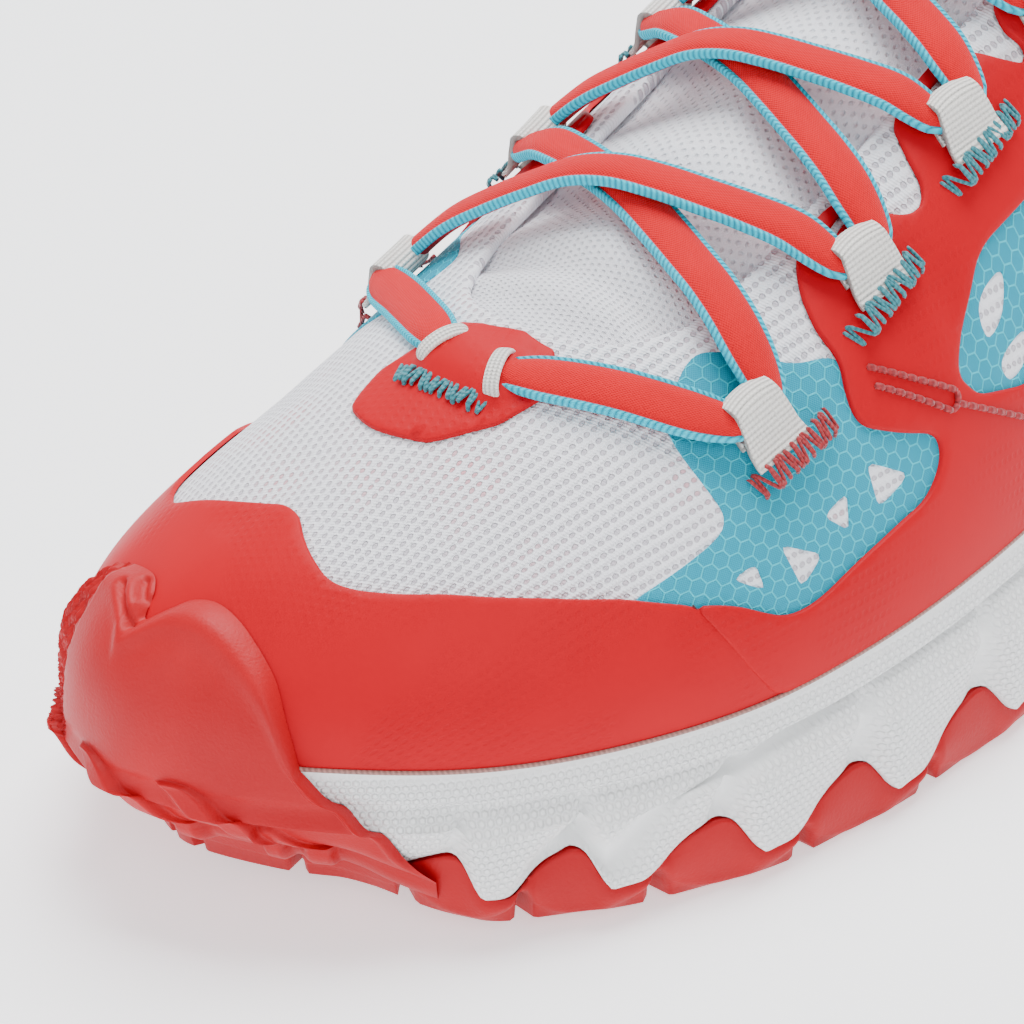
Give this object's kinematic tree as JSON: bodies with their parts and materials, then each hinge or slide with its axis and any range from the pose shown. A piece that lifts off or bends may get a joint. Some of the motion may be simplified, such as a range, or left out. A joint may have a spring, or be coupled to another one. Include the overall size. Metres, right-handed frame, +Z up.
{
  "type": "trail running shoe",
  "caption": "Left low-cut trail running shoe with a mesh upper, welded overlays, webbing lace loops, a scalloped foam midsole and a lugged rubber outsole with a toe bumper.",
  "frame": {"origin": "on the ground, under the middle of the shoe's length and width", "axes": "+X towards the toe, +Y towards the outer (lateral) side of this left shoe, +Z up"},
  "size_m": [0.2788, 0.0984, 0.114],
  "materials": {
    "knit_mesh": "white knit mesh",
    "spacer_mesh": "white spacer mesh",
    "overlay_film": "matte red film over mesh",
    "ripstop": "cyan ripstop",
    "webbing": "off-white webbing",
    "lace_cord": "red flat tube lace with cyan edges",
    "midsole_foam": "white moulded foam with a fine scale texture",
    "outsole_rubber": "red rubber, satin",
    "insole_foam": "pale cloth-faced foam"
  },
  "bodies": {
    "root": {"insole": "insole_foam", "lace_crossing_1": "lace_cord", "lace_crossing_2": "lace_cord", "lace_crossing_3": "lace_cord", "lace_crossing_4": "lace_cord", "lace_toe_lateral": "lace_cord", "lace_toe_medial": "lace_cord", "midsole": "midsole_foam", "mudguard": "overlay_film", "outsole": "outsole_rubber", "quarter_lateral": "overlay_film", "quarter_medial": "overlay_film", "ripstop_lateral": "ripstop", "ripstop_medial": "ripstop", "toe_patch": "overlay_film", "tongue": "spacer_mesh", "upper": "knit_mesh", "webbing_loop_lateral_1": "webbing", "webbing_loop_lateral_2": "webbing", "webbing_loop_lateral_3": "webbing", "webbing_loop_lateral_4": "webbing", "webbing_loop_lateral_5": "webbing", "webbing_loop_medial_1": "webbing", "webbing_loop_medial_2": "webbing", "webbing_loop_medial_3": "webbing", "webbing_loop_medial_4": "webbing", "webbing_loop_medial_5": "webbing"}
  },
  "joints": []
}
